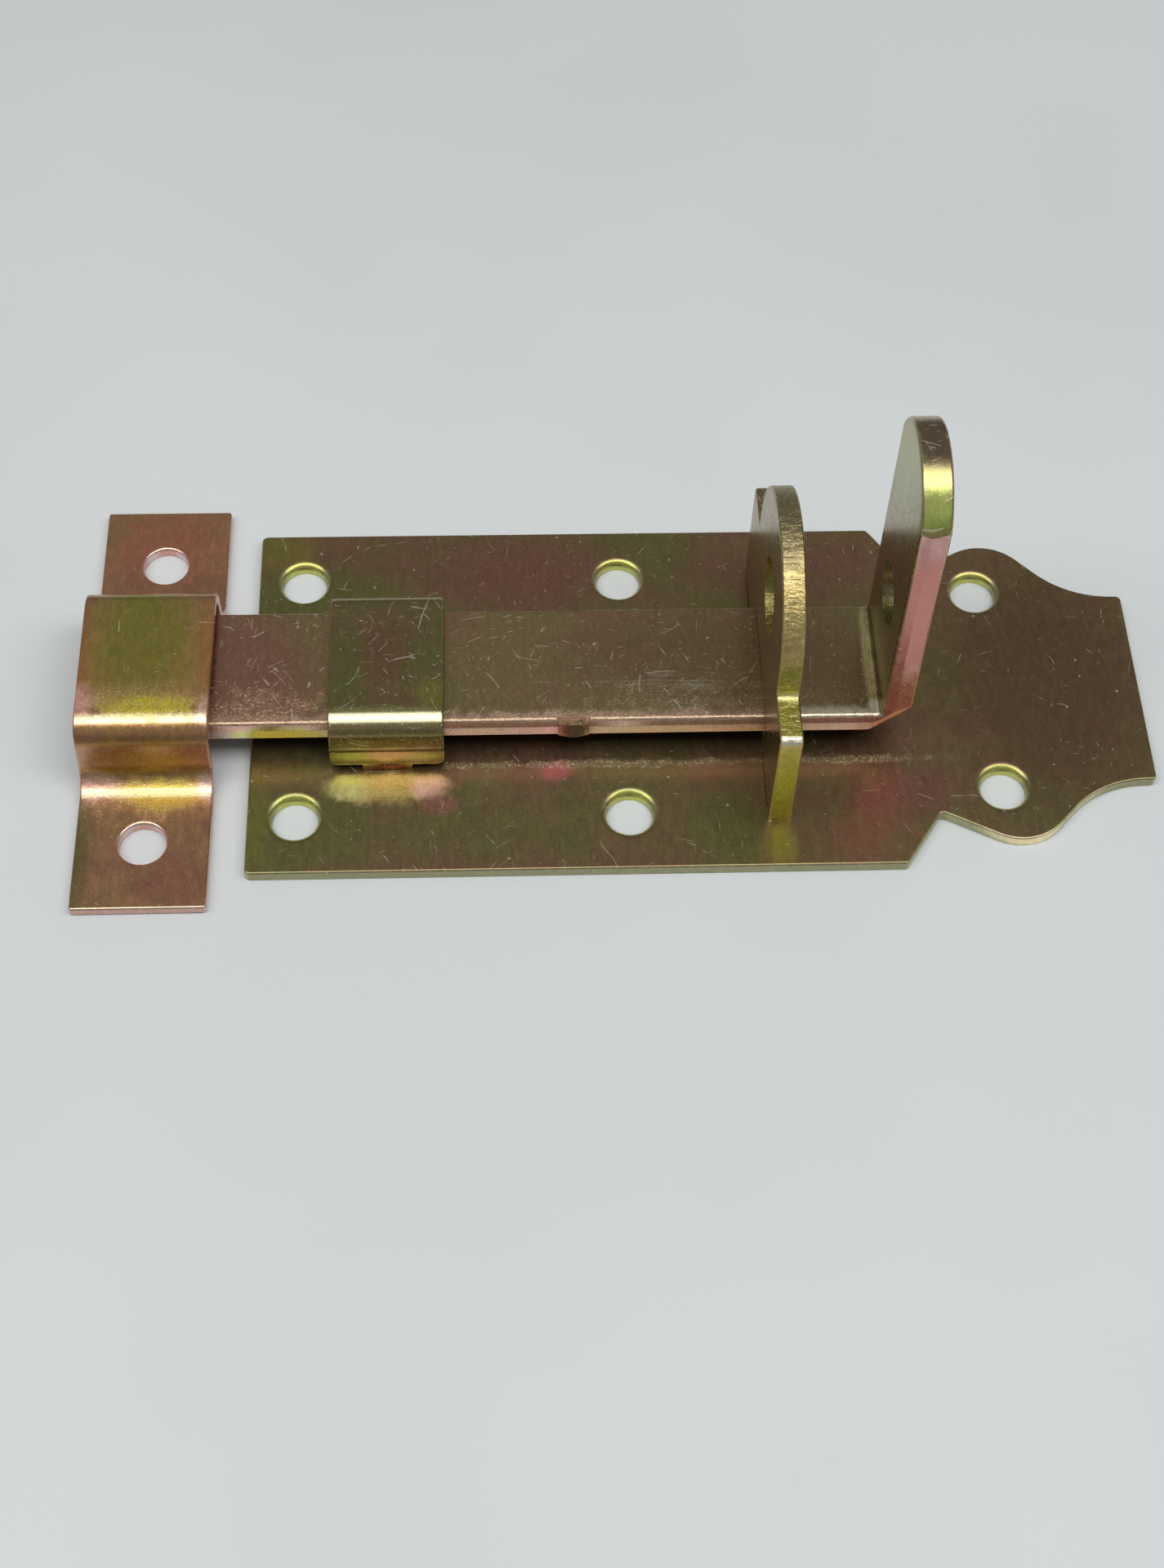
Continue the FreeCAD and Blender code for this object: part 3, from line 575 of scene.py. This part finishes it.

# %% [markdown]
# ## The guide loop
#
# The loop is a strap bent over the bar. Hands and the bar have polished it, so it is the smoothest
# of the five and has the most hairlines. Its near bend runs across the picture as one bright band.
# The band is a real reflection of the panel, and a paler colour is laid on it too, as a painted highlight.
# Below it, the wall carries painted reflections, and painted light and shade at its crease, down to the
# copper brown tab.

# %% Where the loop's coat changes, and where light is painted on it
LOOP_WALL = paint(165, 150, 85)
LOOP_HIGHLIGHT_PAINT = paint(255, 248, 205)
LOOP_PATCHES = (
    ((18.2, 1.0, 10.1), (4.5, 7.0, 3.0), paint(160, 118, 92), 0.6),
    ((13.0, -1.0, 10.1), (3.0, 9.0, 3.0), OLIVE, 0.6),
    ((24.0, -6.0, 10.1), (3.0, 3.0, 3.0), LIME, 0.4),
    # Painted highlight: a pale fringe on the top, just above the near bend's band.
    ((18.2, -9.2, 10.1), (12.0, 1.5, 1.5), paint(200, 200, 130), 0.7),
)
LOOP_WALL_LIGHT_AND_COLOUR = (
    # Painted light on the lower wall: a lime band and a copper glow painted as the plate's reflection, a pale
    # line over a dark line painted as the crease's light and shade, and a painted highlight along the bottom
    # edge. The last is the tab's own copper brown.
    ((18.2, -12.0, 4.4), (12.0, 2.5, 1.1), paint(200, 195, 90), 1.0),
    ((18.4, -12.0, 4.6), (4.2, 2.5, 1.5), paint(255, 200, 140), 1.0),
    ((18.2, -12.0, 5.75), (12.0, 2.5, 0.22), PALE_ZINC, 0.6),
    ((18.2, -12.0, 5.25), (12.0, 2.5, 0.25), paint(70, 55, 25), 0.9),
    ((18.2, -12.0, 2.7), (12.0, 2.5, 0.3), paint(250, 245, 150), 0.9),
    ((18.2, -12.0, 2.1), (4.6, 2.5, 1.2), paint(150, 92, 60), 1.0),
)
LOOP_LOW_WALL = (((18.2, -12.0, 4.3), (9.0, 2.5, 1.3), 1.0),)
BEND_HIGHLIGHT = (0.0, -0.38, 0.925)
print("the loop has", len(LOOP_PATCHES) + len(LOOP_WALL_LIGHT_AND_COLOUR), "patches")


# %% The loop's finish
def loop_finish():
    material, tree, place, normal = start_finish("loop_zinc")
    colour = use(tree, tint_effect, Vector=place, Cloud=9.0, Seed=4.1, Base=UMBER, Green=OLIVE, Plum=PLUM,
                 Green_share=0.9, Plum_share=0.3)["Color"]
    colour = lay(tree, place, colour, LOOP_PATCHES)
    colour = blend(tree, 1.0, colour, DEEPER, "MULTIPLY")
    across = vector_sum(tree, "ABSOLUTE", normal)
    walls = use(tree, facing_effect, Normal=across, Way=(0.0, 1.0, 0.0), From=0.8, To=0.98)["Mask"]
    colour = blend(tree, sum_of(tree, "MULTIPLY", walls, 0.7), colour, LOOP_WALL)
    # Painted highlight: paler colour on the part of the bend that faces the panel.
    highlit_bends = use(tree, facing_effect, Normal=normal, Way=BEND_HIGHLIGHT, From=0.955, To=0.985)["Mask"]
    colour = blend(tree, sum_of(tree, "MULTIPLY", highlit_bends, 0.9), colour, LOOP_HIGHLIGHT_PAINT)
    rims = use(tree, edge_effect, Normal=normal)["Mask"]
    colour = blend(tree, sum_of(tree, "MULTIPLY", rims, 0.2), colour, STRAW)
    # Painted reflections, the crease's painted light and shade, and the tab's colour.
    colour = lay(tree, place, colour, LOOP_WALL_LIGHT_AND_COLOUR)
    bright = zone(tree, place, LOOP_LOW_WALL, 0.2)
    marks = use(tree, scratch_effect, Vector=place, Amount=0.9, Seed=5.1)["Mask"]
    end_finish(tree, place, colour, roughness=(0.2, 0.3), grain_size=0.2, grain_depth=0.007,
               scratches=marks, scuffs=highlit_bends, scuff_depth=0.02, matt=bright)
    return material


dress("guide_loop", loop_finish())

# %% [markdown]
# ## The padlock lug
#
# The lug is blanked from thick plate. Its two faces are smooth sheet, but its edge shows how a punch
# parts steel: sheared, then torn. A crinkle drawn out along the cut gives that break, and only there,
# because a mask of the way that the surface faces keeps it off the faces. The edge is gold at the
# eye, olive at the shoulders and yellow green down to the foot. Its top and far side are laid darker
# as painted shade, and its neck and the near shoulder's outer corner carry painted highlights.

# %% Where the lug's coat changes, and where light is painted on it
LUG_CUT = paint(222, 192, 122)
LUG_PATCHES = (
    # The first three lay the top and the far side of the edge darker, as painted shade.
    ((69.3, 0.0, 37.0), (5.0, 13.0, 5.0), paint(142, 130, 95), 0.95),
    ((69.3, 8.0, 31.0), (5.0, 7.0, 8.0), paint(128, 118, 92), 1.0),
    ((69.3, 18.0, 17.0), (5.0, 7.0, 9.0), paint(122, 110, 88), 1.0),
    ((69.3, 0.0, 22.0), (5.0, 9.0, 9.0), paint(105, 112, 44), 1.0),
    ((69.3, -14.5, 22.0), (3.0, 4.0, 5.0), paint(160, 154, 78), 1.0),
    ((69.3, -18.0, 19.3), (3.0, 5.0, 1.6), paint(158, 153, 70), 1.0),
    ((69.3, -21.0, 8.0), (3.0, 2.4, 13.0), paint(168, 165, 42), 1.0),
    # The last two are painted highlights, on the neck and on the near shoulder's outer corner.
    ((69.3, -14.3, 19.5), (3.0, 1.0, 0.9), paint(245, 240, 165), 0.9),
    ((69.3, -21.0, 19.2), (3.0, 0.9, 0.9), paint(255, 250, 235), 0.95),
)
print("the lug's edge has", len(LUG_PATCHES), "patches")


# %% The lug's finish
def lug_finish():
    material, tree, place, normal = start_finish("lug_zinc")
    colour = use(tree, tint_effect, Vector=place, Cloud=10.0, Seed=7.7, Base=UMBER, Green=OLIVE, Plum=PLUM,
                 Green_share=0.5, Plum_share=0.5)["Color"]
    across = vector_sum(tree, "ABSOLUTE", normal)
    blanked = use(tree, facing_effect, Normal=across, Way=(1.0, 0.0, 0.0), From=0.6, To=0.2)["Mask"]
    sheared = lay(tree, place, LUG_CUT, LUG_PATCHES)
    colour = blend(tree, blanked, colour, sheared)
    rims = use(tree, edge_effect, Normal=normal)["Mask"]
    colour = blend(tree, sum_of(tree, "MULTIPLY", rims, 0.25), colour, STRAW)
    marks = use(tree, scratch_effect, Vector=place, Amount=0.3, Seed=8.1)["Mask"]
    crinkle = use(tree, crinkle_effect, Vector=place)["Height"]
    broken = sum_of(tree, "MULTIPLY", blanked, ramp(tree, crinkle, 0.35, 0.7, 0.25, 1.1))
    end_finish(tree, place, colour, roughness=(0.22, 0.34), grain_size=0.3, grain_depth=0.008,
               scratches=marks, scuffs=broken, scuff_depth=0.12)
    return material


dress("padlock_lug", lug_finish())

# %% [markdown]
# ## The sliding bar
#
# The bar is the piece that works, so it is the most worn: streaks along it where it runs in the
# window, hairlines all over and bright scuffs on its long edges. Its near top edge and the place where
# it bends up into the ear carry painted highlights. Its sides were sheared and have two faces, which
# turned pink; the lower face is laid lighter as painted light, and a yellow stretch near the keeper
# is a painted reflection of the plate. Its bent end is plain sheet again, lime on the arch and rose
# down the straight edge, with painted shade on the arch's top and at the corner below it. Masks by
# facing keep all these apart.

# %% Where the bar's coat changes, and where light is painted on it
SIDE_UPPER = paint(255, 205, 190)
# Painted light: the lower side face is laid lighter than the upper one.
SIDE_LOWER_LIT = paint(255, 240, 255)
STOP_DENT = paint(165, 145, 120)
EAR_BORE = paint(120, 130, 62)
BAR_RIM = paint(222, 200, 172)
BAR_PATCHES = (
    ((-5.0, 0.0, 8.1), (20.0, 14.0, 3.0), PLUM, 0.9),
    ((12.0, 4.0, 8.1), (8.0, 8.0, 3.0), UMBER, 0.6),
    ((64.0, 0.0, 8.1), (26.0, 12.0, 1.5), DARK_BROWN, 0.6),
    # These four are painted highlights: a pale line along the near top edge, a straw line and a pale spot
    # where the bar bends up into the ear, and a silvery stretch of the near edge by the ear.
    ((30.0, -9.0, 8.1), (80.0, 1.6, 1.0), paint(205, 168, 142), 0.8),
    ((82.2, 0.0, 8.1), (0.8, 12.0, 1.2), STRAW, 0.8),
    ((82.5, -7.8, 8.1), (1.6, 1.6, 1.2), paint(250, 240, 215), 0.9),
    ((76.0, -9.0, 8.1), (9.0, 1.8, 1.2), paint(236, 226, 200), 0.9),
    ((83.1, 0.0, 44.0), (1.0, 14.0, 12.0), paint(165, 170, 112), 0.8),
)
EAR_EDGE_PATCHES = (
    ((85.0, -6.0, 44.5), (5.0, 9.0, 8.0), paint(225, 238, 130), 1.0),
    # Painted shade: the top of the arch laid darker, and a dark spot at the corner where the arch meets the
    # straight edge.
    ((85.0, 0.0, 52.0), (5.0, 8.0, 4.0), paint(132, 112, 90), 1.0),
    ((84.0, -8.6, 41.3), (1.6, 1.2, 1.2), paint(120, 100, 60), 0.8),
)
BAR_SIDE_PATCHES_AND_REFLECTIONS = (
    # The first two are painted reflections: duller where the side mirrors the table by the keeper, and yellow
    # where it mirrors the plate.
    ((-5.5, -9.35, 6.0), (5.0, 2.0, 3.0), paint(205, 165, 145), 0.9),
    ((4.0, -9.35, 5.6), (7.4, 2.0, 2.2), paint(255, 255, 135), 1.0),
    ((60.0, -9.35, 5.6), (16.0, 2.0, 3.0), paint(255, 225, 200), 0.6),
    ((85.0, -9.35, 30.0), (6.0, 3.0, 20.0), paint(215, 146, 136), 1.0),
    ((85.0, -9.35, 10.0), (6.0, 3.0, 10.0), paint(205, 150, 122), 0.9),
)
BAR_SCUFFED = (
    ((30.0, -9.3, 8.1), (80.0, 2.2, 1.2), 1.0),
    ((0.0, -7.0, 8.1), (12.0, 4.0, 1.2), 1.0),
    ((62.0, -6.5, 8.1), (22.0, 4.0, 1.2), 0.6),
    ((82.2, 0.0, 8.1), (1.0, 12.0, 1.2), 0.8),
)
BAR_RUBBED = (((56.0, -4.0, 8.1), (12.0, 4.5, 1.5), 1.0),)
BAR_STOPS = tuple(((42.7, side * 9.5, 6.0), (2.9, 1.5, 2.6), 1.0) for side in (1, -1))
EAR_BORE_ROOM = (((85.0, 0.0, 22.0), (6.0, 6.6, 6.6), 1.0),)
print("the bar has", len(BAR_PATCHES) + len(BAR_SIDE_PATCHES_AND_REFLECTIONS) + len(EAR_EDGE_PATCHES), "patches")


# %% The bar's finish
def bar_finish():
    material, tree, place, normal = start_finish("bar_zinc")
    colour = use(tree, tint_effect, Vector=place, Cloud=12.0, Seed=3.3, Base=UMBER, Green=OLIVE, Plum=PLUM,
                 Green_share=0.25, Plum_share=0.5)["Color"]
    colour = lay(tree, place, colour, BAR_PATCHES)
    across = vector_sum(tree, "ABSOLUTE", normal)
    sides = use(tree, facing_effect, Normal=across, Way=(0.0, 1.0, 0.0), From=0.85, To=0.95)["Mask"]
    lean = put(tree, "SeparateXYZ", {"Vector": normal}).outputs["Z"]
    under = sum_of(tree, "MULTIPLY", sides, ramp(tree, lean, 0.06, -0.08))
    # Pink sides with the lower face painted lighter, then painted reflections along them.
    side_colour_and_light = blend(tree, under, SIDE_UPPER, SIDE_LOWER_LIT)
    colour = blend(tree, sides, colour, lay(tree, place, side_colour_and_light, BAR_SIDE_PATCHES_AND_REFLECTIONS))
    colour = blend(tree, zone(tree, place, BAR_STOPS, 0.1), colour, STOP_DENT)
    bore = zone(tree, place, EAR_BORE_ROOM, 0.0)
    cut = use(tree, facing_effect, Normal=across, Way=(1.0, 0.0, 0.0), From=0.5, To=0.2)["Mask"]
    colour = blend(tree, sum_of(tree, "MULTIPLY", bore, cut), colour, EAR_BORE)
    rims = use(tree, edge_effect, Normal=normal)["Mask"]
    colour = blend(tree, sum_of(tree, "MULTIPLY", rims, 0.4), colour, BAR_RIM)
    cut = sum_of(tree, "MULTIPLY", cut, sum_of(tree, "SUBTRACT", 1.0, sides))
    colour = blend(tree, cut, colour, lay(tree, place, colour, EAR_EDGE_PATCHES))
    hairs = use(tree, scratch_effect, Vector=place, Amount=0.8, Seed=6.1)["Mask"]
    marked_zone = zone(tree, place, BAR_RUBBED, 0.9)
    streaks = use(tree, grain_effect, Vector=place, Size=0.4, Stretch=(0.12, 1.0, 1.0))["Grain"]
    streaks = sum_of(tree, "MULTIPLY", ramp(tree, streaks, 0.48, 0.66), 0.4)
    marks = sum_of(tree, "MAXIMUM", hairs, sum_of(tree, "MULTIPLY", streaks, marked_zone))
    scuffed = zone(tree, place, BAR_SCUFFED, 1.0)
    scuffed = sum_of(tree, "MAXIMUM", scuffed, sum_of(tree, "MULTIPLY", under, 0.2))
    off_the_sides = sum_of(tree, "SUBTRACT", 1.0, sum_of(tree, "MULTIPLY", sides, 0.7))
    scuffed = sum_of(tree, "MULTIPLY", scuffed, off_the_sides)
    end_finish(tree, place, colour, roughness=(0.2, 0.32), grain_size=0.2, grain_depth=0.008,
               scratches=marks, scuffs=scuffed, scuff_depth=0.07)
    return material


dress("slide_bolt", bar_finish())

# %% [markdown]
# ## The keeper strap
#
# The keeper is thin strap, and its coat shows the most colours of the five: a green field on its
# raised middle, copper borders, a yellow band along each near bend with pink ends, an amber wall and
# rose feet. The colours lie in order across the strap, so each is a soft patch at its own place. The
# yellow and pink bands are coat colour and painted highlight together, and a paler painted highlight
# is laid where the bends face the panel. The rims of its holes and its near end are bare and silvery.

# %% Where the keeper's coat changes, and where light is painted on it
KEEPER_BASE = paint(196, 148, 108)
KEEPER_SIDE = paint(225, 178, 172)
KEEPER_HIGHLIGHT_PAINT = paint(255, 245, 200)
KEEPER_RIM = paint(228, 208, 204)
KEEPER_ARCH = (((-13.2, 0.0, 6.0), (16.0, 20.0, 8.0), 1.0),)
KEEPER_PATCHES = (
    ((-13.2, -2.0, 10.9), (12.0, 14.0, 3.0), paint(205, 165, 88), 0.7),
    ((-14.0, 4.0, 10.9), (8.0, 14.5, 3.0), paint(164, 152, 74), 1.0),
    ((-23.0, 0.0, 10.5), (2.6, 12.0, 3.0), paint(196, 132, 84), 0.9),
    ((-4.6, 1.0, 10.5), (2.2, 12.0, 3.0), paint(200, 142, 84), 0.8),
    # Coat colour and painted highlight together: the near top bend yellow with pink ends.
    ((-21.5, -7.0, 10.0), (2.6, 3.4, 3.0), paint(255, 190, 180), 0.8),
    ((-12.0, -8.2, 10.4), (7.5, 2.2, 3.0), paint(225, 205, 70), 0.9),
    ((-5.0, -8.5, 10.0), (1.4, 3.0, 3.0), paint(250, 200, 185), 0.8),
    ((-13.2, -12.3, 5.5), (12.0, 2.5, 4.0), paint(190, 150, 42), 0.95),
    # Coat colour and painted highlight together: the near foot bend yellow with pink ends.
    ((-20.5, -14.5, 2.0), (4.0, 3.0, 2.0), paint(255, 200, 180), 0.7),
    ((-11.0, -15.5, 1.8), (6.5, 3.0, 2.0), paint(235, 205, 90), 0.85),
    ((-5.2, -14.5, 2.0), (1.8, 2.4, 2.0), paint(255, 215, 195), 0.8),
    ((-22.0, -25.0, 1.4), (2.8, 10.0, 3.0), paint(140, 128, 85), 0.9),
    ((-9.0, -29.0, 1.4), (7.0, 5.0, 3.0), paint(176, 120, 102), 0.7),
    ((-13.0, 26.0, 1.4), (9.0, 8.0, 3.0), paint(205, 132, 105), 0.8),
)
KEEPER_HIGHLIGHT = (0.0, -0.309, 0.951)
KEEPER_RIMS = (
    ((-13.25, 23.0, 1.2), (7.0, 7.0, 4.0), 1.0),
    ((-13.25, -23.0, 1.2), (7.0, 7.0, 4.0), 1.0),
    ((-13.25, -33.0, 1.2), (30.0, 2.0, 4.0), 1.0),
)
KEEPER_SCUFFED = (
    ((-13.2, -7.2, 10.9), (14.0, 3.4, 2.0), 1.0),
    ((-13.2, -15.6, 1.4), (14.0, 4.2, 2.0), 1.0),
)
print("the keeper has", len(KEEPER_PATCHES), "patches")


# %% The keeper's finish
def keeper_finish():
    material, tree, place, normal = start_finish("keeper_zinc")
    colour = use(tree, tint_effect, Vector=place, Cloud=9.0, Seed=9.2, Base=KEEPER_BASE, Green=UMBER,
                 Plum=PLUM, Green_share=0.4, Plum_share=0.6)["Color"]
    colour = lay(tree, place, colour, KEEPER_PATCHES)
    across = vector_sum(tree, "ABSOLUTE", normal)
    sides = use(tree, facing_effect, Normal=across, From=0.35, To=0.15)["Mask"]
    arch = zone(tree, place, KEEPER_ARCH, 0.0)
    cut = sum_of(tree, "MULTIPLY", sides, sum_of(tree, "SUBTRACT", 1.0, arch))
    colour = blend(tree, sum_of(tree, "MULTIPLY", cut, 0.8), colour, KEEPER_SIDE)
    # Painted highlight: paler colour on the part of each bend that faces the panel.
    highlit_bends = use(tree, facing_effect, Normal=normal, Way=KEEPER_HIGHLIGHT, From=0.974, To=0.992)["Mask"]
    colour = blend(tree, sum_of(tree, "MULTIPLY", highlit_bends, 0.5), colour, KEEPER_HIGHLIGHT_PAINT)
    rims = sum_of(tree, "MULTIPLY", use(tree, edge_effect, Normal=normal)["Mask"],
                  zone(tree, place, KEEPER_RIMS, 0.0))
    colour = blend(tree, sum_of(tree, "MULTIPLY", rims, 0.9), colour, KEEPER_RIM)
    near_bends = zone(tree, place, KEEPER_SCUFFED, 0.7)
    marks = use(tree, scratch_effect, Vector=place, Amount=0.2, Seed=1.1)["Mask"]
    end_finish(tree, place, colour, roughness=(0.22, 0.34), grain_size=0.22, grain_depth=0.01,
               scratches=marks, scuffs=near_bends, scuff_depth=0.06)
    return material


dress("keeper", keeper_finish())
